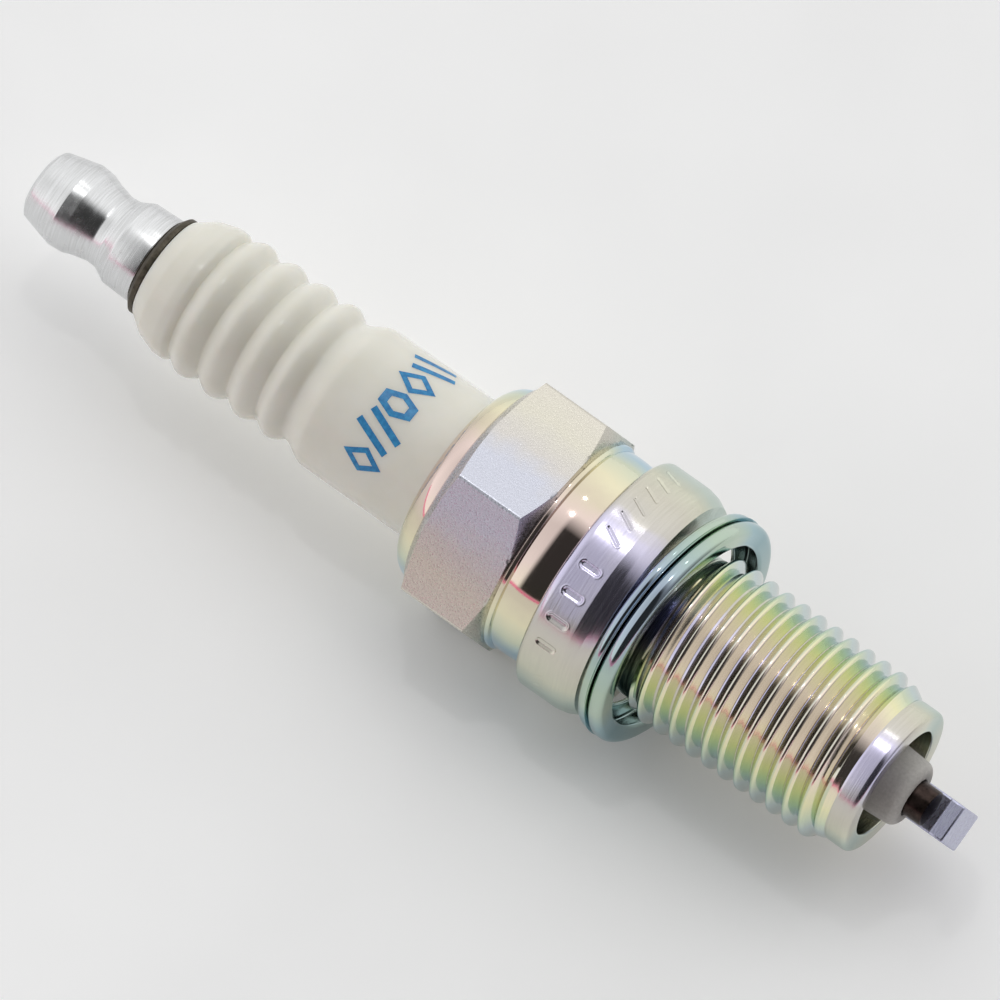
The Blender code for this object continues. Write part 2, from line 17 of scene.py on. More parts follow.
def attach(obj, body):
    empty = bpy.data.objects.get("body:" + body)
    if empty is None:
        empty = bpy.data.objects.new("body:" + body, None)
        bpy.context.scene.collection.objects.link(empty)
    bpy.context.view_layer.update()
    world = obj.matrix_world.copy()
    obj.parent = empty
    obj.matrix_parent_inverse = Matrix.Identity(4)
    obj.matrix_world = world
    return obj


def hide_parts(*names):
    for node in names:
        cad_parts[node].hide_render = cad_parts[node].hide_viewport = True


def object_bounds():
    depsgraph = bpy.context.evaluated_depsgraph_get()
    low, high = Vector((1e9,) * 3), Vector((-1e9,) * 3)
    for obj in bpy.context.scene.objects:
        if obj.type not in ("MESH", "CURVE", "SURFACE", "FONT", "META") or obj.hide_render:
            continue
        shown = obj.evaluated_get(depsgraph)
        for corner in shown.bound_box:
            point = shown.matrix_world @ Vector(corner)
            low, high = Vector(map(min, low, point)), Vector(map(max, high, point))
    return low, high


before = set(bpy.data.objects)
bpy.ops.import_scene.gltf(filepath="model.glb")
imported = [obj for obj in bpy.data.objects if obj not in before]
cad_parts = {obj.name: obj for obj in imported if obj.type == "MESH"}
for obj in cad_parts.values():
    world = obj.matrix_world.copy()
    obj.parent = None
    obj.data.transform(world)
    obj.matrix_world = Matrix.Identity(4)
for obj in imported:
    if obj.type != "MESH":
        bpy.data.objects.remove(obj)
cad_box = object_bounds()
MM = 0.001
CENTRE = (0.0, 0.0, 0.0)
print("nodes:", ", ".join(sorted(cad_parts)))

# %% [markdown]
# ## How the turned pieces are drawn
# A turned part is a profile swept round the plug's axis. The profile is a short list of corners,
# each with the radius of its rounding, because no real edge is perfectly sharp. This function
# replaces each corner by a small arc, as a fillet does on a drawing.

# %% Round the corners of a profile
ARC_STEPS = 5


def rounded(corners, steps=ARC_STEPS):
    """Corners are (x, r, rounding) in millimetres, in order along the outline."""
    outline = []
    for index, (x, r, rounding) in enumerate(corners):
        here = Vector((x, r))
        if rounding <= 0.0:
            outline.append(here)
            continue
        back = (Vector(corners[index - 1][:2]) - here).normalized()
        ahead = (Vector(corners[(index + 1) % len(corners)][:2]) - here).normalized()
        half = back.angle(ahead) / 2.0
        centre = here + (back + ahead).normalized() * (rounding / math.sin(half))
        start = here + back * (rounding / math.tan(half)) - centre
        turn = math.pi - 2.0 * half
        if back.x * ahead.y - back.y * ahead.x > 0.0:
            turn = -turn
        for step in range(steps + 1):
            outline.append(centre + Matrix.Rotation(turn * step / steps, 2) @ start)
    return outline


print(len(rounded([(0, 1, 0.2), (1, 1, 0.2), (1, 2, 0.2)])), "points for three rounded corners")

# %% [markdown]
# The spin operator sweeps the outline round the axis. Its time grows with the square of its
# steps, so one sector is spun, copies of it are turned into place, and the seams are merged.
# The faces are then made to point outwards, because a spin can turn a shape inside out.

# %% Spin an outline round the axis
SECTORS = 6


def lathe(outline, steps, closed=True):
    """A solid of revolution about X from (x, r) points; steps is a multiple of SECTORS."""
    shape = bmesh.new()
    corners = [shape.verts.new((x * MM, 0.0, r * MM)) for x, r in outline]
    edges = [shape.edges.new(pair) for pair in zip(corners, corners[1:])]
    if closed:
        edges.append(shape.edges.new((corners[-1], corners[0])))
    bmesh.ops.spin(shape, geom=corners + edges, cent=CENTRE, axis=(1, 0, 0),
                   angle=math.tau / SECTORS, steps=steps // SECTORS)
    sector = shape.verts[:] + shape.edges[:] + shape.faces[:]
    for index in range(1, SECTORS):
        copy = bmesh.ops.duplicate(shape, geom=sector)
        points = [item for item in copy["geom"] if isinstance(item, bmesh.types.BMVert)]
        turn = Matrix.Rotation(math.tau * index / SECTORS, 3, "X")
        bmesh.ops.rotate(shape, verts=points, cent=CENTRE, matrix=turn)
    bmesh.ops.remove_doubles(shape, verts=shape.verts, dist=1e-7)
    bmesh.ops.recalc_face_normals(shape, faces=shape.faces)
    return shape


print(SECTORS, "sectors of", 360 // SECTORS, "degrees make a turning")

# %% [markdown]
# A thread is one ridge that climbs as it goes round. Half a turn is swept with a rise at each
# step, then copied on along the axis, each copy turned by half a turn and moved by half a pitch.
# The crest is held under a limit where the thread leads in and runs out, and the ends are capped.

# %% Sweep a ridge into a coil
def coil(section, start_x, start_deg, pitch, half_turns, steps, limit):
    """A right-hand ridge about X; section is (x, r), angles are from +Y towards +Z."""
    shape = bmesh.new()
    ring = [shape.verts.new(((start_x + x) * MM, r * MM, 0.0)) for x, r in section]
    edges = [shape.edges.new(pair) for pair in zip(ring, ring[1:] + ring[:1])]
    bmesh.ops.rotate(shape, verts=ring, cent=CENTRE,
                     matrix=Matrix.Rotation(math.radians(start_deg), 3, "X"))
    bmesh.ops.spin(shape, geom=ring + edges, cent=CENTRE, axis=(1, 0, 0), angle=math.pi,
                   dvec=(pitch * MM / (2 * steps), 0, 0), steps=steps)
    sweep = shape.verts[:] + shape.edges[:] + shape.faces[:]
    for index in range(1, half_turns):
        copy = bmesh.ops.duplicate(shape, geom=sweep)
        points = [item for item in copy["geom"] if isinstance(item, bmesh.types.BMVert)]
        bmesh.ops.rotate(shape, verts=points, cent=CENTRE,
                         matrix=Matrix.Rotation(math.pi * index, 3, "X"))
        bmesh.ops.translate(shape, verts=points, vec=(pitch * MM * index / 2.0, 0, 0))
    bmesh.ops.remove_doubles(shape, verts=shape.verts, dist=1e-7)
    ends = [edge for edge in shape.edges if edge.is_boundary]
    bmesh.ops.holes_fill(shape, edges=ends, sides=0)
    for corner in shape.verts:
        radius = math.hypot(corner.co.y, corner.co.z)
        most = limit(corner.co.x / MM) * MM
        if radius > most:
            corner.co.y *= most / radius
            corner.co.z *= most / radius
    bmesh.ops.recalc_face_normals(shape, faces=shape.faces)
    return shape


print("coil: half a turn swept, then copied")

# %% [markdown]
# Every piece leaves through the same door. Its edges sharper than a set angle stay crisp and the
# rest is shaded smooth. It becomes an object at the origin, rides on its body, takes its finish,
# and hides the imported solid that it stands for. Where a piece has true flats, the edges round
# each flat are kept crisp too, so that a rounded corner beside it cannot bend its shading.

# %% Turn a shape into a named piece
CRISP = math.radians(34.0)


def piece(name, shape, material, body, stands_for=None, flat_area=None):
    """flat_area is in square millimetres: faces larger than it are shaded flat."""
    for face in shape.faces:
        face.smooth = True
        if flat_area and face.calc_area() > flat_area * MM * MM:
            for edge in face.edges:
                edge.smooth = False
    for edge in shape.edges:
        if len(edge.link_faces) == 2 and edge.calc_face_angle(0.0) > CRISP:
            edge.smooth = False
    mesh = bpy.data.meshes.new(name)
    shape.to_mesh(mesh)
    shape.free()
    mesh.materials.append(material)
    made = bpy.data.objects.new(name, mesh)
    bpy.context.scene.collection.objects.link(made)
    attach(made, body)
    if stands_for:
        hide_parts(stands_for)
    print(name, len(mesh.polygons), "faces")
    return made


# %% [markdown]
# ## How the finishes are written
# Finishes are node materials. Colours are the hex values that a maker would pick from a swatch,
# turned to the linear values that the shader needs. One function adds any node with its settings,
# its fixed values, its links and, for a colour ramp, its stops.

# %% Colour and node helpers
def linear(hex_colour):
    channels = [int(hex_colour[i:i + 2], 16) / 255.0 for i in (1, 3, 5)]
    return [c / 12.92 if c <= 0.04045 else ((c + 0.055) / 1.055) ** 2.4 for c in channels] + [1.0]


def add_node(tree, kind, settings=None, values=None, links=None, stops=None):
    node = tree.nodes.new(kind)
    for name, value in (settings or {}).items():
        setattr(node, name, value)
    for socket, value in (values or {}).items():
        node.inputs[socket].default_value = linear(value) if isinstance(value, str) else value
    for socket, source in (links or {}).items():
        tree.links.new(source, node.inputs[socket])
    for index, (place, colour) in enumerate(stops or ()):
        if index > 1:
            node.color_ramp.elements.new(place)
    for element, (place, colour) in zip(node.color_ramp.elements if stops else (), stops or ()):
        element.position = place
        element.color = linear(colour)
    return node


def new_finish(name, **values):
    """A material, its tree and its shader, with the shader's fixed values set."""
    material = bpy.data.materials.new(name)
    material.use_nodes = True
    shader = material.node_tree.nodes["Principled BSDF"]
    for socket, value in values.items():
        shader.inputs[socket.replace("_", " ")].default_value = value
    return material, material.node_tree, shader


print("linear grey of #808080:", round(linear("#808080")[0], 3))

# %% [markdown]
# ## Passivated zinc
# The shell is cold-forged steel, plated with zinc and dipped in a passivating bath. The bath
# leaves a clear film far thinner than a hair. Light that bounces in it comes back tinted, and the
# tint changes with the angle at which the film is seen: pink where it faces the viewer, then straw
# and green, then blue where it is seen edge-on. That tint is painted into the base colour, in bands
# round the shell set by each point's side towards the camera, so it is right for this view only.
# The recipe finds how far round a point is, lets soft blotches bend the bands, and reads a colour
# ramp.
# A second, finer noise stands for the tool: rings where the part was turned, grains where forged.

# %% The recipe for passivated zinc
# The side of the shell that faces the camera; the film's colour is painted by each point's angle to it
CAMERA_SIDE = (0.0, -0.5, math.sqrt(0.75))
BAND_BEND = 0.16
BLOTCH_SIZE = 2.2 * MM
# Noise values gather round a half, so LOW and HIGH stand for the usual spread of a noise
LOW = 0.3
HIGH = 0.7
FLANK_SPREAD = 0.25


def passivated_zinc(name, bands, roughness, grain, stretch, relief, speckle=0.0, rear="#FFFFFF"):
    """bands: painted film colours as seen from the camera, from the far side (0) to the side facing the
    camera (1); grain in metres; rear: the extra painted tint on faces that look back towards the
    terminal, away from the camera."""
    material, tree, shader = new_finish(name, Metallic=1.0)
    coords = add_node(tree, "ShaderNodeTexCoord")
    where = coords.outputs["Object"]
    across = add_node(tree, "ShaderNodeVectorMath", {"operation": "MULTIPLY"},
                      {1: (0.0, 1.0, 1.0)}, {0: where})
    outward = add_node(tree, "ShaderNodeVectorMath", {"operation": "NORMALIZE"},
                       links={0: across.outputs["Vector"]})
    side = add_node(tree, "ShaderNodeVectorMath", {"operation": "DOT_PRODUCT"},
                    {1: CAMERA_SIDE}, {0: outward.outputs["Vector"]})
    blotches = add_node(tree, "ShaderNodeTexNoise", None,
                        {"Scale": 1.0 / BLOTCH_SIZE, "Detail": 3.0}, {"Vector": where})
    bent = add_node(tree, "ShaderNodeMath", {"operation": "MULTIPLY_ADD"}, {1: BAND_BEND},
                    {0: blotches.outputs["Fac"], 2: side.outputs["Value"]})
    place = add_node(tree, "ShaderNodeMapRange", None,
                     {"From Min": BAND_BEND / 2.0 - 1.0, "From Max": BAND_BEND / 2.0 + 1.0},
                     {"Value": bent.outputs["Value"]})
    # The ramp paints the film's colour as seen from the camera, so the tint is fixed for this one view
    film = add_node(tree, "ShaderNodeValToRGB", links={"Fac": place.outputs["Result"]}, stops=bands)
    laid = add_node(tree, "ShaderNodeMapping", None, {"Scale": stretch}, {"Vector": where})
    tool = add_node(tree, "ShaderNodeTexNoise", None,
                    {"Scale": 1.0 / grain, "Detail": 3.0, "Roughness": 0.6},
                    {"Vector": laid.outputs["Vector"]})
    shade = add_node(tree, "ShaderNodeMapRange", None,
                     {"From Min": LOW, "From Max": HIGH, "To Min": 1.0 - speckle, "To Max": 1.0},
                     {"Value": tool.outputs["Fac"]})
    # Flanks that face back towards the terminal, away from the camera, get the rear tint painted on
    facing = add_node(tree, "ShaderNodeSeparateXYZ", links={"Vector": coords.outputs["Normal"]})
    forward = add_node(tree, "ShaderNodeMapRange", None,
                       {"From Min": -FLANK_SPREAD, "From Max": FLANK_SPREAD},
                       {"Value": facing.outputs["X"]})
    flank = add_node(tree, "ShaderNodeValToRGB", links={"Fac": forward.outputs["Result"]},
                     stops=[(0.0, rear), (1.0, "#FFFFFF")])
    both = add_node(tree, "ShaderNodeVectorMath", {"operation": "MULTIPLY"}, None,
                    {0: film.outputs["Color"], 1: flank.outputs["Color"]})
    tinted = add_node(tree, "ShaderNodeVectorMath", {"operation": "SCALE"}, None,
                      {0: both.outputs["Vector"], "Scale": shade.outputs["Result"]})
    tree.links.new(tinted.outputs["Vector"], shader.inputs["Base Color"])
    dull = add_node(tree, "ShaderNodeMapRange", None,
                    {"From Min": LOW, "From Max": HIGH, "To Min": roughness[0], "To Max": roughness[1]},
                    {"Value": tool.outputs["Fac"]})
    tree.links.new(dull.outputs["Result"], shader.inputs["Roughness"])
    bump = add_node(tree, "ShaderNodeBump", None, {"Strength": 1.0, "Distance": relief},
                    {"Height": tool.outputs["Fac"]})
    tree.links.new(bump.outputs["Normal"], shader.inputs["Normal"])
    return material


print("film blotches", round(BLOTCH_SIZE / MM, 1), "mm across")

# %% [markdown]
# Each zone of the shell gets the recipe with its own bands of painted film colour. The forged
# hexagon is satin and grainy, the rolled waist is nearly a mirror, the turned barrel shows fine
# rings that run round it, and the rolled thread is smooth, its bands painted deeper in colour for
# the light that bounces in its grooves.

# %% The shell's finishes
# ROUND stretches a pattern twenty-five times round the axis, and EVEN leaves it alone
ROUND = (1.0, 0.04, 0.04)
EVEN = (1.0, 1.0, 1.0)
bright_bands = [(0.0, "#D9CFAE"), (0.3, "#C4CBBE"), (0.5, "#9CC0D8"), (0.63, "#B4D2E0"),
                (0.74, "#DDE4CC"), (0.85, "#EBE4C4"), (0.93, "#D8CDB6"), (0.985, "#E0CCC4")]
forged_bands = [(0.0, "#C8C2B2"), (0.5, "#B8C2BE"), (0.63, "#C9CCC2"), (0.74, "#D8D3C8"),
                (0.85, "#D6D2C4"), (0.93, "#CFCBC6"), (0.985, "#C9CBD6")]
turned_bands = [(0.0, "#CFC9B6"), (0.5, "#B4C8BE"), (0.63, "#C8D6CA"), (0.74, "#DEDECA"),
                (0.85, "#D4D0C2"), (0.93, "#CFCBC4"), (0.97, "#D6D2E6"), (1.0, "#D2CEE8")]
thread_bands = [(0.0, "#D8CDB0"), (0.5, "#C4D0CE"), (0.63, "#CFDEDC"), (0.74, "#DDE8CC"),
                (0.85, "#EFEBC0"), (0.93, "#F2E6CE"), (0.985, "#F2E2D6")]
bright_zinc = passivated_zinc("passivated zinc, rolled bright", bright_bands, (0.05, 0.1),
                              0.1 * MM, ROUND, 0.0004 * MM)
forged_zinc = passivated_zinc("passivated zinc, forged", forged_bands, (0.22, 0.34),
                              0.13 * MM, EVEN, 0.014 * MM, 0.08)
turned_zinc = passivated_zinc("passivated zinc, turned", turned_bands, (0.15, 0.26),
                              0.12 * MM, ROUND, 0.0025 * MM, 0.08)
thread_zinc = passivated_zinc("passivated zinc, rolled thread", thread_bands, (0.1, 0.18),
                              0.1 * MM, ROUND, 0.0005 * MM, 0.06, "#E2F0EE")
print("four zinc finishes")

# %% [markdown]
# ## Terminal nut
# A cap of aluminium, turned on a lathe: a rounded head, a neck that the plug cap's spring snaps
# into, and a plain skirt. Bare aluminium is pale and bright, and the lathe's point leaves rings a
# tenth of a millimetre apart that smear every highlight along the axis. Its noise is squeezed
# hard along the axis and hardly at all round it.

# %% Turned aluminium
turned_aluminium, tree, shader = new_finish("turned aluminium", Metallic=1.0, Anisotropic=0.4)
where = add_node(tree, "ShaderNodeTexCoord").outputs["Object"]
laid = add_node(tree, "ShaderNodeMapping", None, {"Scale": ROUND}, {"Vector": where})
rings = add_node(tree, "ShaderNodeTexNoise", None,
                 {"Scale": 1.0 / (0.11 * MM), "Detail": 2.0, "Roughness": 0.6},
                 {"Vector": laid.outputs["Vector"]}).outputs["Fac"]
smears = add_node(tree, "ShaderNodeTexNoise", None, {"Scale": 1.0 / (0.9 * MM), "Detail": 3.0},
                  {"Vector": where}).outputs["Fac"]
paled = add_node(tree, "ShaderNodeValToRGB", links={"Fac": rings},
                 stops=[(LOW, "#D2D3D3"), (HIGH, "#E4E5E6")])
tree.links.new(paled.outputs["Color"], shader.inputs["Base Color"])
dulled = add_node(tree, "ShaderNodeMapRange", None,
                  {"From Min": LOW, "From Max": HIGH, "To Min": 0.16, "To Max": 0.3}, {"Value": smears})
tree.links.new(dulled.outputs["Result"], shader.inputs["Roughness"])
ridged = add_node(tree, "ShaderNodeBump", None, {"Strength": 1.0, "Distance": 0.002 * MM},
                  {"Height": rings})
tree.links.new(ridged.outputs["Normal"], shader.inputs["Normal"])
axis_grain = add_node(tree, "ShaderNodeTangent", {"direction_type": "RADIAL", "axis": "X"})
tree.links.new(axis_grain.outputs["Tangent"], shader.inputs["Tangent"])
print(turned_aluminium.name)

# %% [markdown]
# The nut is one closed turning. Its profile starts on the axis at the bottom of the stud's bore,
# comes out along the bore, and goes back over the skirt, the snap groove and the rounded head to
# the axis again. An open outline that ends on the axis needs no closing edge.

# %% The nut
nut_corners = [
    (-45.94, 0.0, 0.0), (-45.94, 2.04, 0.2), (-38.9, 2.04, 0.0), (-38.69, 2.2, 0.05),
    (-38.69, 3.06, 0.14), (-40.85, 2.98, 0.3), (-41.75, 2.5, 0.4), (-42.45, 2.43, 1.2),
    (-43.5, 2.68, 1.2), (-44.2, 2.92, 0.4), (-45.15, 3.0, 0.4), (-46.94, 2.55, 0.6),
    (-47.4, 2.42, 0.25), (-47.65, 2.05, 0.2), (-47.65, 0.0, 0.0),
]
nut = lathe(rounded(nut_corners), 144, closed=False)
piece("terminal_nut_cap", nut, turned_aluminium, "nut", "terminal_nut")

# %% [markdown]
# ## Terminal stud
# Steel, darkened by the furnace that melts the glass seals. Its collar is the thin dark ring
# between the bright nut and the white insulator. The M4 thread shows only when the nut comes off,
# so it is drawn as a true ridge too.

# %% Oxidised steel
oxidised_steel, tree, shader = new_finish("oxidised steel", Metallic=1.0)
where = add_node(tree, "ShaderNodeTexCoord").outputs["Object"]
scale = add_node(tree, "ShaderNodeTexNoise", None,
                 {"Scale": 1.0 / (0.4 * MM), "Detail": 4.0, "Roughness": 0.6},
                 {"Vector": where}).outputs["Fac"]
browned = add_node(tree, "ShaderNodeValToRGB", links={"Fac": scale},
                   stops=[(LOW, "#47423A"), (HIGH, "#6A6458")])
tree.links.new(browned.outputs["Color"], shader.inputs["Base Color"])
dulled = add_node(tree, "ShaderNodeMapRange", None, {"To Min": 0.4, "To Max": 0.62}, {"Value": scale})
tree.links.new(dulled.outputs["Result"], shader.inputs["Roughness"])
pitted = add_node(tree, "ShaderNodeBump", None, {"Strength": 0.6, "Distance": 0.01 * MM},
                  {"Height": scale})
tree.links.new(pitted.outputs["Normal"], shader.inputs["Normal"])
print(oxidised_steel.name)

# %% [markdown]
# The stud is a turning too, from its seat in the glass up to its rounded end. The M4 ridge is laid
# over a plain rod of the thread's core size. At the stud's end the ridge starts low and climbs to
# its full height, as a thread does where the die first bites.

# %% The stud and its M4 thread
stud_corners = [
    (-15.84, 0.0, 0.0), (-15.84, 1.35, 0.1), (-17.84, 1.35, 0.0), (-17.84, 1.75, 0.1),
    (-38.04, 1.75, 0.0), (-38.04, 3.5, 0.05), (-38.36, 3.5, 0.08), (-38.64, 3.15, 0.05),
    (-38.64, 1.62, 0.0), (-45.44, 1.62, 0.0), (-45.74, 1.4, 0.05), (-45.74, 0.0, 0.0),
]
stud = lathe(rounded(stud_corners), 96, closed=False)
piece("stud_shank", stud, oxidised_steel, "plug", "terminal_stud")
m4_section = [(-0.34, 1.5), (-0.3, 1.62), (-0.07, 1.92), (0.07, 1.92), (0.3, 1.62), (0.34, 1.5)]
m4_thread = coil(m4_section, -45.5, 0.0, 0.7, 18, 24, lambda x: min(1.92, 1.5 + (x + 45.8)))
piece("stud_thread", m4_thread, oxidised_steel, "plug", "terminal_stud")

# %% [markdown]
# ## Insulator
# Fired alumina under a clear glaze. Its ribs lengthen the path that a stray spark would have to
# crawl along. The glaze is a sharp, shallow shine over a warm white body that lets a little light
# in, so its shadows stay soft. Inside the shell the nose is left bare, greyer and quite matte,
# which is why it is a piece of its own.

# %% Glazed alumina
glazed_alumina, tree, shader = new_finish("glazed alumina", Roughness=0.16, IOR=1.52,
                                          Subsurface_Weight=0.6, Subsurface_Scale=1.2 * MM)
shader.inputs["Subsurface Radius"].default_value = (1.0, 0.9, 0.75)
where = add_node(tree, "ShaderNodeTexCoord").outputs["Object"]
body_tone = add_node(tree, "ShaderNodeTexNoise", None, {"Scale": 1.0 / (3.0 * MM), "Detail": 3.0},
                     {"Vector": where}).outputs["Fac"]
warm_white = add_node(tree, "ShaderNodeValToRGB", links={"Fac": body_tone},
                      stops=[(LOW, "#E6E4D8"), (HIGH, "#ECEAE0")])
tree.links.new(warm_white.outputs["Color"], shader.inputs["Base Color"])
# Glaze settles in shallow waves, half a millimetre across, that break its reflections into glints
ripples = add_node(tree, "ShaderNodeTexNoise", None, {"Scale": 1.0 / (0.35 * MM), "Detail": 2.0},
                   {"Vector": where}).outputs["Fac"]
rippled = add_node(tree, "ShaderNodeBump", None, {"Strength": 1.0, "Distance": 0.004 * MM},
                   {"Height": ripples})
tree.links.new(rippled.outputs["Normal"], shader.inputs["Normal"])

print("glazed alumina")

# %% [markdown]
# ### Bare alumina
# The nose sits in the flame, so it carries no glaze. The same ceramic is then grey and matte, with
# a grit of about a fifth of a millimetre that takes away every sharp highlight.

# %% Bare alumina
bare_alumina, tree, shader = new_finish("bare alumina", Roughness=0.75, IOR=1.6)
where = add_node(tree, "ShaderNodeTexCoord").outputs["Object"]
grit = add_node(tree, "ShaderNodeTexNoise", None, {"Scale": 1.0 / (0.2 * MM), "Detail": 4.0},
                {"Vector": where}).outputs["Fac"]
grey_white = add_node(tree, "ShaderNodeValToRGB", links={"Fac": grit},
                      stops=[(LOW, "#B4B1AC"), (HIGH, "#C4C1BC")])
tree.links.new(grey_white.outputs["Color"], shader.inputs["Base Color"])
gritty = add_node(tree, "ShaderNodeBump", None, {"Strength": 0.6, "Distance": 0.01 * MM},
                  {"Height": grit})
tree.links.new(gritty.outputs["Normal"], shader.inputs["Normal"])
print(bare_alumina.name)

# %% [markdown]
# The four full ribs are one wave. A plain sine would be too thin at its crests, so its root is
# taken, and a small soft term keeps the valleys round, as the grinding wheel that shapes the
# unfired clay leaves them.

# %% The glazed body and its ribs
VALLEYS = (-34.51, -32.24, -29.94, -27.64, -25.5)
VALLEY_R = 4.36
RIB_R = 4.92
RIB_STEPS = 20
VALLEY_SOFTNESS = 0.12


def rib_wave():
    points = []
    full = math.sqrt(1.0 + VALLEY_SOFTNESS ** 2) - VALLEY_SOFTNESS
    for low, high in reversed(list(zip(VALLEYS, VALLEYS[1:]))):
        for step in range(RIB_STEPS):
            share = step / RIB_STEPS
            crest = math.sqrt(math.sin(math.pi * share) ** 2 + VALLEY_SOFTNESS ** 2)
            rise = (crest - VALLEY_SOFTNESS) / full
            points.append((high + (low - high) * share, VALLEY_R + (RIB_R - VALLEY_R) * rise))
    return points


def eased(start, end, steps=10):
    """An S-shaped rise between two (x, r) points."""
    points = []
    for step in range(1, steps + 1):
        share = step / steps
        ease = share * share * (3.0 - 2.0 * share)
        points.append((start[0] + (end[0] - start[0]) * share, start[1] + (end[1] - start[1]) * ease))
    return points


front = rounded([(6.31, 2.2, 0.0), (6.31, 3.85, 0.1), (-2.19, 3.85, 0.5), (-4.34, 5.93, 0.3),
                 (-8.74, 5.93, 0.2), (-9.39, 5.12, 0.2), (-23.6, 5.12, 0.0)])[1:]
first_rib = rounded([(VALLEYS[0], VALLEY_R, 0.0), (-34.9, 4.72, 0.35), (-35.6, 4.72, 0.9),
                     (-36.9, 4.3, 1.0), (-38.0, 3.5, 0.12), (-38.0, 2.05, 0.1), (-3.14, 2.05, 0.0),
                     (-3.14, 1.31, 0.0), (6.31, 1.31, 0.0)], 8)
glazed_outline = [tuple(point) for point in front]
glazed_outline += eased((-23.6, 5.12), (VALLEYS[-1], VALLEY_R))[:-1]
glazed_outline += rib_wave() + [tuple(point) for point in first_rib]
glazed_body = lathe(glazed_outline, 192)
piece("insulator_glazed_body", glazed_body, glazed_alumina, "plug", "insulator")

# %% [markdown]
# The nose is a separate turning, because a finish can't change part way along a piece. It starts
# where the glaze stops, tapers to the tip, and ends in a rounded shoulder round the electrode.

# %% The bare nose
nose_corners = [(20.51, 1.31, 0.1), (20.51, 2.28, 0.6), (6.76, 3.1, 0.2), (6.31, 3.85, 0.0),
                (6.3, 3.85, 0.0), (6.3, 1.31, 0.0)]
nose = lathe(rounded(nose_corners, 8), 120)
piece("insulator_bare_nose", nose, bare_alumina, "plug", "insulator")

# %% [markdown]
# ## Printed band
# The insulator carries a row of blue ceramic ink under its glaze. Here it is a row of plain
# signs that mean nothing: frames with four and six sides, and pairs of slanted bars. A frame is two
# flat rings joined by a bridge. The ink is matt beside the glaze, so it reads as flat colour with
# faint pooling. The finished row is divided finely and wrapped round the insulator.

# %% Blue ceramic ink
ceramic_ink, tree, shader = new_finish("blue ceramic ink", Roughness=0.3)
where = add_node(tree, "ShaderNodeTexCoord").outputs["Object"]
ink_flow = add_node(tree, "ShaderNodeTexNoise", None, {"Scale": 1.0 / (0.3 * MM), "Detail": 3.0},
                    {"Vector": where}).outputs["Fac"]
ink_tone = add_node(tree, "ShaderNodeValToRGB", links={"Fac": ink_flow},
                    stops=[(LOW, "#0B6FAE"), (HIGH, "#2E96CC")])
tree.links.new(ink_tone.outputs["Color"], shader.inputs["Base Color"])
print(ceramic_ink.name)

# %% [markdown]
# Each sign is drawn on the flat plane, with its length along the axis. Its place in the row is an
# angle, which the wrap turns into a place round the insulator. The row stands eight thousandths of
# a millimetre above the glaze, enough to stay clear of the body's fine facets.

# %% The printed signs
INK_R = 5.128
INK_X = -19.6
SIGN_HALF_LENGTH = 1.45
SIGN_HALF_WIDTH = 0.92
STROKE = 0.45
INK_CUTS = 9
BAR_SPREAD = 1.2
NEAR_SIDE_DEG = 120.0
FRAME_INSET = 1.5
signs = bmesh.new()
SIGNS = [(31.0, 4, 0.0), (7.0, 0, 22.0), (-16.0, 6, 0.0), (-38.0, 4, 0.0), (-62.0, 0, -22.0)]
for turn_deg, corners, slant_deg in SIGNS:
    points = []
    if corners:
        for size in (1.0, 1.0 - FRAME_INSET * STROKE / SIGN_HALF_LENGTH):
            ring = bmesh.ops.create_circle(signs, cap_ends=False, segments=corners, radius=size)
            points += ring["verts"]
        loops = list({edge for corner in points for edge in corner.link_edges})
        bmesh.ops.bridge_loops(signs, edges=loops)
        bmesh.ops.scale(signs, verts=points, vec=(SIGN_HALF_LENGTH, SIGN_HALF_WIDTH, 1.0))
    else:
        for shift in (-STROKE, STROKE):
            bar = bmesh.ops.create_grid(signs, x_segments=1, y_segments=1, size=0.5)["verts"]
            bmesh.ops.scale(signs, verts=bar, vec=(2.0 * SIGN_HALF_LENGTH, STROKE, 1.0))
            bmesh.ops.translate(signs, verts=bar, vec=(0.0, BAR_SPREAD * shift, 0.0))
            points += bar
        bmesh.ops.rotate(signs, verts=points, cent=CENTRE,
                         matrix=Matrix.Rotation(math.radians(slant_deg), 3, "Z"))
    bmesh.ops.translate(signs, verts=points, vec=(0.0, math.radians(turn_deg) * INK_R, 0.0))
bmesh.ops.subdivide_edges(signs, edges=signs.edges[:], cuts=INK_CUTS, use_grid_fill=True)
for corner in signs.verts:
    turn = math.radians(NEAR_SIDE_DEG) + corner.co.y / INK_R
    corner.co = Vector(((INK_X + corner.co.x) * MM, INK_R * math.cos(turn) * MM,
                        INK_R * math.sin(turn) * MM))
bmesh.ops.recalc_face_normals(signs, faces=signs.faces)
for face in signs.faces:
    if face.normal.dot(face.calc_center_median() * Vector((0, 1, 1))) < 0.0:
        face.normal_flip()
piece("printed_signs", signs, ceramic_ink, "plug")

# %% [markdown]
# ## Shell
# The shell is one forging, but its zones were finished by different tools, so each is a piece:
# the crimped collar and waist, the hexagon, the turned barrel, the threaded sleeve and the
# thread. The waist was heated and pressed to lock the insulator in, which left it slightly
# bulged. That bulge matters: it bends the reflection of the dark room into a short blot.

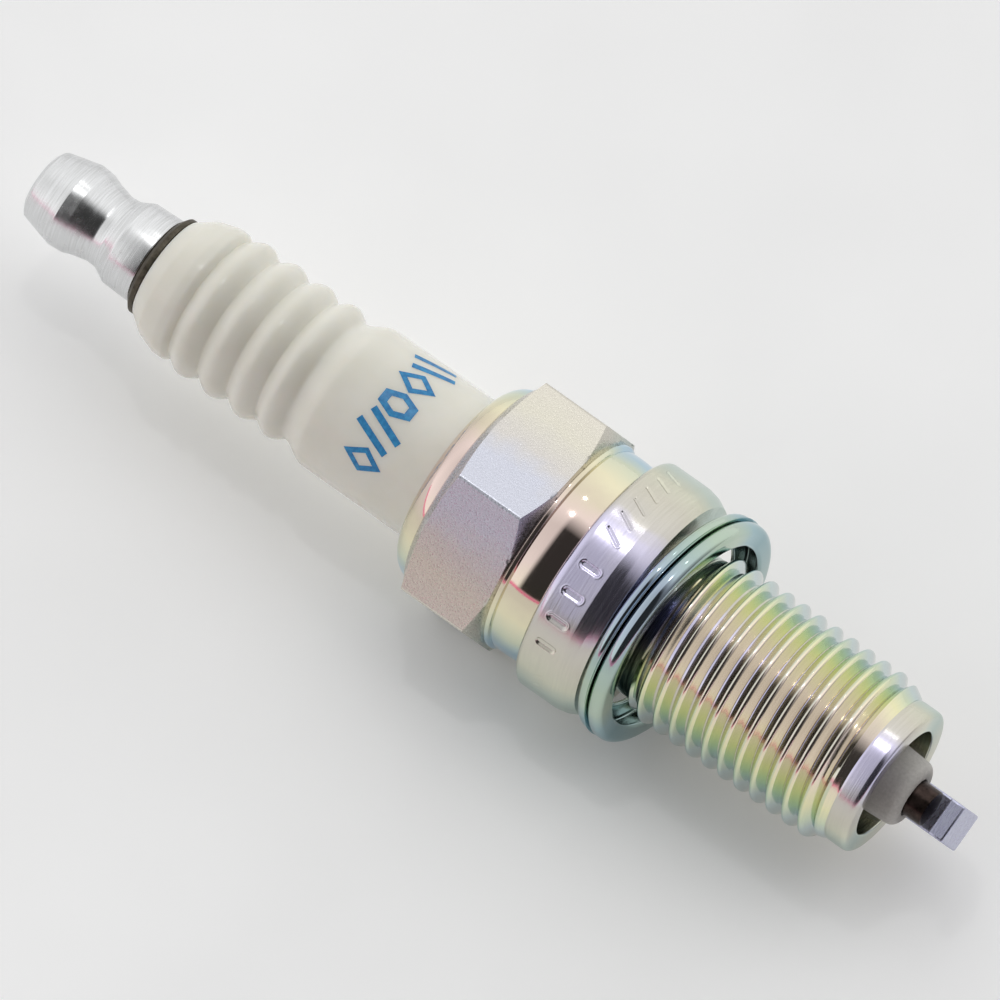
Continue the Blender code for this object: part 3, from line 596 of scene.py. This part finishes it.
# %% The crimped collar and the waist
collar_arc = [(-13.55 + 1.75 * math.cos(math.radians(a)), 5.38 + 1.75 * math.sin(math.radians(a)))
              for a in range(90, 181, 6)]
WAIST_R = 7.4
WAIST_MIDDLE_X = -6.1
WAIST_BULGE_R = 7.6
waist_arc = [(x / 10.0, WAIST_R - WAIST_BULGE_R
              + math.sqrt(WAIST_BULGE_R ** 2 - (x / 10.0 - WAIST_MIDDLE_X) ** 2))
             for x in range(-45, -69, -2)]
bead = [tuple(point) for point in rounded([(-6.9, 7.36, 0.0), (-7.0, 7.58, 0.1), (-7.3, 7.6, 0.12),
                                           (-7.45, 7.45, 0.0)])]
waist_outline = [(-4.2, 7.2)] + waist_arc + bead[:-1] + [(-7.6, 7.55), (-8.0, 7.1), (-13.3, 7.1)]
waist_outline += [(-13.55, 7.13)] + collar_arc[1:-1] + [(-15.3, 5.42), (-15.3, 5.2), (-14.3, 5.2),
                                                        (-14.3, 6.05), (-4.2, 6.05)]
waist = lathe(waist_outline, 192)
piece("crimped_collar_and_waist", waist, bright_zinc, "plug", "shell")

# %% [markdown]
# The hexagon starts as a turned ring with a coned end on each side. Six cuts with a plane make
# its flats, and the cones show as the curved corners that every forged hexagon has. The long
# edges get a narrow bevel so that they catch a line of light.

# %% The hexagon
HEX_FLAT = 15.65 / 2.0
hex_walk = [(-7.44, 6.6), (-7.44, 7.95), (-8.1, 9.1), (-12.75, 9.1), (-13.25, 7.86), (-13.62, 7.45),
            (-13.8, 7.1), (-13.8, 6.6)]
hexagon = lathe(hex_walk, 240)
HEX_EDGE = 0.14
for side in range(6):
    turn = math.radians(30.0 + 60.0 * side)
    flat = Vector((0.0, math.cos(turn), math.sin(turn)))
    everything = hexagon.verts[:] + hexagon.edges[:] + hexagon.faces[:]
    cut = bmesh.ops.bisect_plane(hexagon, geom=everything, plane_co=flat * HEX_FLAT * MM,
                                 plane_no=flat, clear_outer=True, dist=1e-8)
    rim = [item for item in cut["geom_cut"] if isinstance(item, bmesh.types.BMEdge)]
    bmesh.ops.contextual_create(hexagon, geom=rim)
ridges = [edge for edge in hexagon.edges if len(edge.link_faces) == 2
          and abs(math.degrees(edge.calc_face_angle(0.0)) - 60.0) < 1.0]
bmesh.ops.bevel(hexagon, geom=ridges, offset=HEX_EDGE * MM, affect="EDGES", segments=4, profile=0.5,
                material=-1)
bmesh.ops.recalc_face_normals(hexagon, faces=hexagon.faces)
piece("hexagon", hexagon, forged_zinc, "plug", "shell", flat_area=5.0)

# %% [markdown]
# The barrel is a dense turned ring, so that small dents can be pressed into it point by point.
# A punch leaves a flat floor, a sloping wall and a low lip of pushed-up metal. Four slots and a
# row of slanted strokes stand where a real shell is stamped. They spell nothing.

# %% The barrel
BARREL_R = 8.31
barrel_corners = [(0.0, 6.4, 0.0), (0.0, 7.8, 0.06), (-0.7, 8.15, 0.2), (-1.45, 8.31, 0.3),
                  (-4.45, 8.31, 0.5), (-4.45, 6.4, 0.0)]
barrel_outline = []
for point, following in zip(rounded(barrel_corners, 6), rounded(barrel_corners, 6)[1:]):
    barrel_outline.append(tuple(point))
    if point.y > BARREL_R - 0.01 and point.x - following.x > 1.0:
        for step in range(1, 40):
            barrel_outline.append((point.x + (following.x - point.x) * step / 40.0, BARREL_R))
barrel_outline.append((-4.45, 6.4))
barrel = lathe(barrel_outline, 720)
print("barrel blank", len(barrel.verts), "points")

# %% [markdown]
# Every dent is a rounded stroke with a place, a length, a slant, a width and a depth. A point
# inside a stroke is pushed in, one just outside it is raised, and all others stay where they are.

# %% Press the dents
SLOT_X = -2.74
DENTS = [(13.8 * k, SLOT_X, 0.5, 0.0, 0.27, 0.13) for k in range(4)]
DENTS += [(-17.0 - 9.5 * k, SLOT_X - 0.1, 0.65, 28.0, 0.12, 0.1) for k in range(6)]
DENTS += [(62.0 + 7.0 * k, SLOT_X + 0.1, 0.3, -28.0, 0.09, 0.05) for k in range(3)]
WALL = 0.09
LIP = 0.02
FARTHEST = 1.5
for corner in barrel.verts:
    radius = math.hypot(corner.co.y, corner.co.z) / MM
    if radius < BARREL_R - 0.02:
        continue
    angle = math.degrees(math.atan2(corner.co.z, corner.co.y)) - NEAR_SIDE_DEG
    push = 0.0
    for dent_deg, dent_x, half_length, tilt_deg, half_width, depth in DENTS:
        around = math.radians((angle - dent_deg + 180.0) % 360.0 - 180.0) * BARREL_R
        along = corner.co.x / MM - dent_x
        if abs(around) > FARTHEST:
            continue
        tilt = math.radians(tilt_deg)
        lengthwise = along * math.cos(tilt) + around * math.sin(tilt)
        sideways = around * math.cos(tilt) - along * math.sin(tilt)
        inside = half_width - math.hypot(sideways, max(0.0, abs(lengthwise) - half_length))
        if inside > -WALL:
            push += LIP * max(0.0, 1.0 - abs(inside + WALL / 2.0) / (WALL / 2.0))
            push -= depth * min(1.0, max(0.0, inside / WALL))
    corner.co.y *= (radius + push) / radius
    corner.co.z *= (radius + push) / radius
piece("barrel", barrel, turned_zinc, "plug", "shell")

# %% [markdown]
# The sleeve is the tube under the thread: the undercut, the plain end ring and, inside, the bore
# with its ledge for the seat packing. The thread itself is a piece of its own, laid over it.

# %% The threaded sleeve
sleeve_corners = [
    (19.0, 3.85, 0.12), (19.0, 5.14, 0.3), (18.6, 5.2, 0.3), (17.55, 5.19, 0.15), (17.25, 5.1, 0.0),
    (2.1, 5.24, 0.0), (1.9, 5.2, 0.1), (-0.3, 5.2, 0.0), (-0.3, 6.5, 0.0), (-3.0, 6.5, 0.0),
    (-2.04, 4.0, 0.0), (6.71, 4.0, 0.0), (7.11, 3.3, 0.0), (8.76, 3.3, 0.0), (9.36, 3.85, 0.0),
]
sleeve = lathe(rounded(sleeve_corners), 168)
piece("threaded_sleeve", sleeve, turned_zinc, "plug", "shell")

# %% [markdown]
# The M12 x 1.25 thread is rolled between dies, not cut, so its crests are rounded and its flanks
# are smooth. It starts after the undercut and runs out on a short cone before the end ring.

# %% The M12 thread
M12_PITCH = 1.25
CREST_R = 5.93
CORE_R = 5.1
m12_section = [(-0.62, 5.05), (-0.6, 5.16), (-0.52, 5.25), (-0.44, 5.38), (-0.2, 5.79),
               (-0.14, 5.88), (-0.06, 5.93), (0.06, 5.93), (0.14, 5.88), (0.2, 5.79),
               (0.44, 5.38), (0.52, 5.25), (0.6, 5.16), (0.62, 5.05)]


def crest_limit(x):
    """The thread leads in over 0.55 mm and runs out over 1.4 mm."""
    lead_in = 1.0 - (2.75 - x) / 0.55
    run_out = (17.5 - x) / 1.4
    return CORE_R + (CREST_R - CORE_R) * min(1.0, max(0.0, min(lead_in, run_out)))


m12_thread = coil(m12_section, 1.3, -85.0, M12_PITCH, 27, 72, crest_limit)
piece("m12_thread", m12_thread, thread_zinc, "plug", "shell")

# %% [markdown]
# ## Gasket
# A strip of thin plated steel, rolled into a ring and folded, so that it crushes when the plug is
# tightened. Its edge shows two lobes with a seam between them. It hangs loose in the undercut and
# lies a little askew. Its plating is as bright as chrome with a blue-green cast.

# %% Bright plated sheet
# As on the shell, the film's colour is painted in bands by each point's side towards the camera
gasket_bands = [(0.0, "#B9C4BC"), (0.5, "#8FB0B8"), (0.63, "#A9C6CC"), (0.74, "#C4D4C4"),
                (0.85, "#B8CAB8"), (0.93, "#A9BCB8"), (1.0, "#A6B4C4")]
plated_sheet = passivated_zinc("passivated zinc, bright sheet", gasket_bands, (0.06, 0.14),
                               0.2 * MM, (1.0, 0.2, 0.2), 0.001 * MM)


print(plated_sheet.name)

# %% [markdown]
# The profile is a hollow fold with two rounded lobes and a seam between them. The ring is turned
# about the plug's axis, tilted a few degrees, and then moved along into the undercut.

# %% The gasket
GASKET_X = 1.86
gasket_corners = [
    (0.58, 6.9, 0.08), (0.8, 6.72, 0.12), (0.97, 7.0, 0.2), (0.97, 8.25, 0.52), (-0.15, 8.25, 0.48),
    (-0.17, 7.9, 0.03), (-0.2, 8.22, 0.36), (-0.97, 8.22, 0.4), (-0.97, 6.3, 0.12),
    (-0.65, 6.3, 0.12), (-0.61, 7.6, 0.2), (0.6, 7.6, 0.2),
]
gasket = lathe(rounded(gasket_corners, 8), 192)
askew = Euler((0.0, math.radians(-3.4), math.radians(-4.75))).to_matrix()
bmesh.ops.rotate(gasket, verts=gasket.verts, cent=CENTRE, matrix=askew)
bmesh.ops.translate(gasket, verts=gasket.verts, vec=(GASKET_X * MM, 0.0, 0.0))
piece("rolled_gasket", gasket, plated_sheet, "loose_gasket", "gasket")

# %% [markdown]
# ## Electrodes
# The centre electrode is a nickel sheath that stands out of the nose. Its dark brown is a painted
# reflection of the dark surroundings at the firing end.
# The ground electrode is a flat nickel strip. Shears cut it to length, a weld holds it to the end
# ring, and a press bends it over the centre.

# %% Nickel, painted dark
dark_painted_nickel, tree, shader = new_finish("nickel alloy, painted dark", Metallic=1.0)
where = add_node(tree, "ShaderNodeTexCoord").outputs["Object"]
mottle = add_node(tree, "ShaderNodeTexNoise", None, {"Scale": 1.0 / (0.5 * MM), "Detail": 3.0},
                 {"Vector": where}).outputs["Fac"]
# Painted reflection: the dark brown base colour stands for the dark surroundings that the sheath
# reflects
painted_dark_tone = add_node(tree, "ShaderNodeValToRGB", links={"Fac": mottle},
                   stops=[(LOW, "#2C2522"), (HIGH, "#4A3E3A")])
tree.links.new(painted_dark_tone.outputs["Color"], shader.inputs["Base Color"])
dulled = add_node(tree, "ShaderNodeMapRange", None, {"To Min": 0.2, "To Max": 0.4}, {"Value": mottle})
tree.links.new(dulled.outputs["Result"], shader.inputs["Roughness"])

print("nickel, painted dark")

# %% [markdown]
# ### Rolled nickel strip
# The strip is drawn between rollers, which leaves fine score lines along its length and a cool,
# slightly violet sheen.

# %% Rolled nickel strip
rolled_nickel, tree, shader = new_finish("nickel alloy, rolled strip", Metallic=1.0)
where = add_node(tree, "ShaderNodeTexCoord").outputs["Object"]
laid = add_node(tree, "ShaderNodeMapping", None, {"Scale": (1.0, 0.3, 0.3)}, {"Vector": where})
streaks = add_node(tree, "ShaderNodeTexNoise", None,
                   {"Scale": 1.0 / (0.12 * MM), "Detail": 3.0}, {"Vector": laid.outputs["Vector"]})
cool = add_node(tree, "ShaderNodeValToRGB", links={"Fac": streaks.outputs["Fac"]},
                stops=[(LOW, "#B2B3CC"), (HIGH, "#C2C4D8")])
tree.links.new(cool.outputs["Color"], shader.inputs["Base Color"])
dulled = add_node(tree, "ShaderNodeMapRange", None, {"To Min": 0.2, "To Max": 0.36},
                  {"Value": streaks.outputs["Fac"]})
tree.links.new(dulled.outputs["Result"], shader.inputs["Roughness"])
scored = add_node(tree, "ShaderNodeBump", None, {"Strength": 1.0, "Distance": 0.003 * MM},
                  {"Height": streaks.outputs["Fac"]})
tree.links.new(scored.outputs["Normal"], shader.inputs["Normal"])
print(rolled_nickel.name)

# %% [markdown]
# The sheath is a tube with a head that sits in the glass. It is open at the back for the copper
# core, and its firing end is solid with a barely broken edge.

# %% The centre electrode
electrode_corners = [
    (21.81, 0.0, 0.0), (21.81, 1.25, 0.07), (-3.19, 1.25, 0.0), (-3.19, 1.8, 0.1), (-4.74, 1.8, 0.1),
    (-4.74, 1.2, 0.0), (-6.24, 1.2, 0.05), (-6.24, 0.78, 0.0), (19.06, 0.78, 0.0), (19.06, 0.0, 0.0),
]
electrode = lathe(rounded(electrode_corners), 96, closed=False)
piece("centre_electrode_sheath", electrode, dark_painted_nickel, "plug",
      "center_electrode")

# %% [markdown]
# The strip starts as its side view: a straight leg, a round bend and the arm over the centre. The
# side view is extruded by the strip's width, its long edges are bevelled, and it is then turned
# to its place round the end ring.

# %% The ground electrode
STRIP_WIDTH = 2.65
STRIP_EDGE = 0.14
STRIP_TURN_DEG = -60.0
BEND_X = 21.81
BEND_R = 3.05
strip_side = [(19.0, 3.95), (19.0, 5.05)]
strip_side += [(BEND_X + 2.0 * math.cos(math.radians(a)), BEND_R + 2.0 * math.sin(math.radians(a)))
               for a in range(90, -1, -6)]
strip_side += [(23.81, -1.2), (22.71, -1.2)]
strip_side += [(BEND_X + 0.9 * math.cos(math.radians(a)), BEND_R + 0.9 * math.sin(math.radians(a)))
               for a in range(0, 91, 6)]
strip = bmesh.new()
side_face = strip.faces.new([strip.verts.new((x * MM, y * MM, -STRIP_WIDTH / 2.0 * MM))
                             for x, y in strip_side])
grown = bmesh.ops.extrude_face_region(strip, geom=[side_face])
far_side = [item for item in grown["geom"] if isinstance(item, bmesh.types.BMVert)]
bmesh.ops.translate(strip, verts=far_side, vec=(0.0, 0.0, STRIP_WIDTH * MM))
bmesh.ops.recalc_face_normals(strip, faces=strip.faces)
hard_edges = [edge for edge in strip.edges
              if len(edge.link_faces) == 2 and edge.calc_face_angle(0.0) > math.radians(60.0)]
bmesh.ops.bevel(strip, geom=hard_edges, offset=STRIP_EDGE * MM, affect="EDGES", segments=3, profile=0.5,
                material=-1)
bmesh.ops.rotate(strip, verts=strip.verts, cent=CENTRE,
                 matrix=Matrix.Rotation(math.radians(STRIP_TURN_DEG), 3, "X"))
piece("ground_electrode_strip", strip, rolled_nickel, "plug", "ground_electrode",
      flat_area=0.8)

# %% [markdown]
# ## Pieces inside
# The resistor, seals, packings and copper core are out of sight in the closed plug. Their solids
# stay as they are, each with a finish of its own for anyone who opens the plug.

# %% Finishes for the hidden pieces
def packed_solid_finish(name, dark, light, grain, roughness, metallic=0.0):
    material, tree, shader = new_finish(name, Metallic=metallic, Roughness=roughness)
    where = add_node(tree, "ShaderNodeTexCoord").outputs["Object"]
    specks = add_node(tree, "ShaderNodeTexNoise", None, {"Scale": 1.0 / grain, "Detail": 4.0},
                      {"Vector": where}).outputs["Fac"]
    tones = add_node(tree, "ShaderNodeValToRGB", links={"Fac": specks},
                     stops=[(LOW, dark), (HIGH, light)])
    tree.links.new(tones.outputs["Color"], shader.inputs["Base Color"])
    uneven = add_node(tree, "ShaderNodeBump", None, {"Strength": 0.6, "Distance": 0.02 * MM},
                      {"Height": specks})
    tree.links.new(uneven.outputs["Normal"], shader.inputs["Normal"])
    return material


copper_glass = packed_solid_finish("copper glass", "#3B2A20", "#7A4B32", 0.5 * MM, 0.4)
carbon_mass = packed_solid_finish("carbon resistor mass", "#141414", "#33312F", 0.4 * MM, 0.7)
copper = packed_solid_finish("drawn copper", "#A85C3C", "#D08C68", 1.0 * MM, 0.3, 1.0)
soft_steel = packed_solid_finish("soft steel packing", "#5E5E5E", "#8C8C8C", 0.6 * MM, 0.4, 1.0)
talc = packed_solid_finish("pressed talc", "#BDB9B0", "#DEDBD4", 0.4 * MM, 0.9)
HIDDEN = {"upper_glass_seal": copper_glass, "lower_glass_seal": copper_glass,
          "resistor": carbon_mass, "electrode_core": copper, "upper_ring_packing": soft_steel,
          "lower_ring_packing": soft_steel, "seat_packing": soft_steel, "talc_filling": talc}
for node_name, material in HIDDEN.items():
    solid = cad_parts[node_name]
    solid.data.materials.clear()
    solid.data.materials.append(material)
print(len(HIDDEN), "hidden pieces finished:", ", ".join(sorted(HIDDEN)))

# %% [markdown]
# ## Table, light and camera
# The plug lies on a white table, so its own lowest point gives the table's height. Bright metal
# shows its surroundings, so those are drawn with care: a wide soft light overhead and behind, a
# pale wall at the terminal end, and a dark gap where the viewer stands.

# %% The table
TABLE_SIZE = 3.0
lowest = cad_box[0][2]
table = bmesh.new()
bmesh.ops.create_grid(table, x_segments=2, y_segments=2, size=TABLE_SIZE / 2.0)
bmesh.ops.translate(table, verts=table.verts, vec=(0, 0, lowest))
table_mesh = bpy.data.meshes.new("table")
table.to_mesh(table_mesh)
table.free()
paper, tree, shader = new_finish("white paper on a light table", Roughness=0.9,
                                 Emission_Strength=0.1)
shader.inputs["Emission Color"].default_value = (1.0, 1.0, 1.0, 1.0)
where = add_node(tree, "ShaderNodeTexCoord").outputs["Object"]
fibre = add_node(tree, "ShaderNodeTexNoise", None, {"Scale": 60.0, "Detail": 2.0}, {"Vector": where})
pale = add_node(tree, "ShaderNodeValToRGB", links={"Fac": fibre.outputs["Fac"]},
                stops=[(LOW, "#F7F7F7"), (HIGH, "#FBFBFB")])
tree.links.new(pale.outputs["Color"], shader.inputs["Base Color"])
table_mesh.materials.append(paper)
table_top = bpy.data.objects.new("table", table_mesh)
bpy.context.scene.collection.objects.link(table_top)
print("table top at", round(lowest / MM, 3), "mm")

# %% [markdown]
# The surroundings are a soft world, drawn by direction. Three terms are enough: the light overhead
# and behind, the wall beyond the terminal end, and a thin rosy band where the wall meets the table.

# %% The surroundings
world = bpy.data.worlds.new("studio")
bpy.context.scene.world = world
world.use_nodes = True
tree = world.node_tree
way = add_node(tree, "ShaderNodeTexCoord").outputs["Generated"]
parts = add_node(tree, "ShaderNodeSeparateXYZ", links={"Vector": way})
overhead = add_node(tree, "ShaderNodeVectorMath", {"operation": "DOT_PRODUCT"},
                    {1: (0.0, 0.9976, -0.0698)}, {0: way})
in_light = add_node(tree, "ShaderNodeMapRange", None, {"From Min": -0.3, "From Max": 0.03},
                    {"Value": overhead.outputs["Value"]})
light_tone = add_node(tree, "ShaderNodeMapRange", None, {"To Min": 0.9, "To Max": 1.12},
                      {"Value": parts.outputs["Z"]})
leaning = add_node(tree, "ShaderNodeVectorMath", {"operation": "DOT_PRODUCT"},
                   {1: (1.0, 0.0, -0.08)}, {0: way})
to_terminal = add_node(tree, "ShaderNodeMapRange", None,
                       {"From Min": -0.22, "From Max": -0.3, "To Min": 0.0, "To Max": 1.0},
                       {"Value": leaning.outputs["Value"]})
wall_tone = add_node(tree, "ShaderNodeMapRange", None, {"To Min": 1.2, "To Max": 0.8},
                     {"Value": parts.outputs["Z"]})
wall = add_node(tree, "ShaderNodeMath", {"operation": "MULTIPLY"}, None,
                {0: to_terminal.outputs["Result"], 1: wall_tone.outputs["Result"]})
room = add_node(tree, "ShaderNodeMath", {"operation": "MAXIMUM"}, {1: 0.04},
                {0: wall.outputs["Value"]})
at_firing_end = add_node(tree, "ShaderNodeMapRange", None,
                         {"From Min": 0.55, "From Max": 0.95, "To Min": 1.0, "To Max": 0.3},
                         {"Value": parts.outputs["X"]})
light = add_node(tree, "ShaderNodeMath", {"operation": "MULTIPLY"}, None,
                 {0: light_tone.outputs["Result"], 1: at_firing_end.outputs["Result"]})
level = add_node(tree, "ShaderNodeMix", {"data_type": "FLOAT"}, None,
                 {0: in_light.outputs["Result"], 2: room.outputs["Value"], 3: light.outputs["Value"]})
low = add_node(tree, "ShaderNodeMapRange", {"interpolation_type": "SMOOTHSTEP"},
               {"From Min": 0.07, "From Max": 0.03}, {"Value": parts.outputs["Z"]})
near = add_node(tree, "ShaderNodeMath", {"operation": "LESS_THAN"}, {1: -0.3}, {0: parts.outputs["Y"]})
rosy = add_node(tree, "ShaderNodeMath", {"operation": "MULTIPLY"}, None,
                {0: low.outputs["Result"], 1: near.outputs["Value"]})
tint = add_node(tree, "ShaderNodeMix", {"data_type": "RGBA"}, {6: "#FFFFFF", 7: "#F08CB4"},
                {0: rosy.outputs["Value"]})
floor_level = add_node(tree, "ShaderNodeMath", {"operation": "MAXIMUM"}, None,
                       {0: level.outputs[0], 1: rosy.outputs["Value"]})
background = tree.nodes["Background"]
tree.links.new(tint.outputs[2], background.inputs["Color"])
tree.links.new(floor_level.outputs["Value"], background.inputs["Strength"])
print("world nodes:", len(tree.nodes))


# %% [markdown]
# Two small lamps stand high above. They add almost nothing to the light on the plug, but a glossy
# rib or a polished waist shows them as pinpoints, and those points say that a surface is smooth.

# %% Two small lamps for the sharp glints
def lamp(name, toward, size, power, distance=0.6):
    data = bpy.data.lights.new(name, "AREA")
    data.energy = power
    data.size = size
    made = bpy.data.objects.new(name, data)
    made.location = Vector(toward).normalized() * distance
    made.rotation_euler = (-Vector(toward)).to_track_quat("-Z", "Y").to_euler()
    bpy.context.scene.collection.objects.link(made)
    return made


lamp("glint_lamp_a", (-0.22, 0.05, 0.97), 0.025, 0.12)
lamp("glint_lamp_b", (-0.22, 0.39, 0.89), 0.025, 0.02)
print("lamps:", len(bpy.data.lights))

# %% [markdown]
# The camera looks down on the plug from the firing end's side, with a long lens from far away, so
# near and far ends keep the same scale. Its frame is turned so that the plug runs from the upper
# left to the lower right.

# %% The camera
TILT = math.radians(13.7)
ROLL = math.radians(35.25)
near_side = Vector(CAMERA_SIDE)
low_side = Vector((0.0, -math.sqrt(0.75), -0.5))
along = Vector((math.cos(TILT), 0, 0)) - near_side * math.sin(TILT)
towards = Vector((math.sin(TILT), 0, 0)) + near_side * math.cos(TILT)
right = along * math.cos(ROLL) - low_side * math.sin(ROLL)
up = -(along * math.sin(ROLL) + low_side * math.cos(ROLL))
aim = Vector((-11.98, 0.2035, 0.1175)) * MM
DISTANCE = 2.0
FIELD = 62.11 * MM
SENSOR = 36.0
camera_data = bpy.data.cameras.new("camera")
camera_data.sensor_width = SENSOR
camera_data.lens = SENSOR * DISTANCE / FIELD
camera_data.clip_start = 0.1
camera_data.clip_end = 10.0
camera = bpy.data.objects.new("camera", camera_data)
place = Matrix((right, up, towards)).transposed().to_4x4()
place.translation = aim + towards * DISTANCE
camera.matrix_world = place
bpy.context.scene.collection.objects.link(camera)
bpy.context.scene.camera = camera
bpy.context.scene.view_settings.view_transform = "Standard"
print("lens", round(camera_data.lens, 1), "mm, camera at", [round(v, 3) for v in place.translation])
